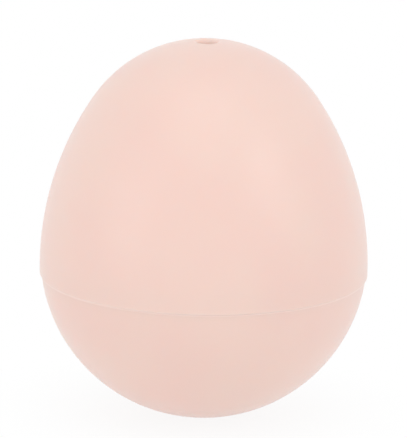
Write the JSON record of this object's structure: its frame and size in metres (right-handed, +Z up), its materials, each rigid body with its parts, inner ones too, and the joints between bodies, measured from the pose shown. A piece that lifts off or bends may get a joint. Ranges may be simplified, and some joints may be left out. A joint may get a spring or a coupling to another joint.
{
  "type": "wobble ball",
  "caption": "Egg-shaped self-righting cat toy: a smooth pink shell in two halves, a weight in its round foot and a wand socket in its crown.",
  "frame": {"origin": "the lowest point of the round foot, on the axis, where the toy stands on the floor", "axes": "+Z up along the axis of revolution, out of the socket in the crown; +X and +Y are any two directions square to it, with a boss of the weight's cover on +X"},
  "size_m": [0.0802, 0.0802, 0.0932],
  "materials": {
    "shell": "pale pink moulded plastic, satin, very finely grained",
    "weight": "rough cast, dark grey",
    "cover": "off-white moulded plastic",
    "screws": "zinc plated"
  },
  "bodies": {
    "root": {"upper_shell": "shell", "lower_shell": "shell", "counterweight": "weight", "weight_cover": "cover", "cover_screws": "screws"}
  },
  "joints": []
}
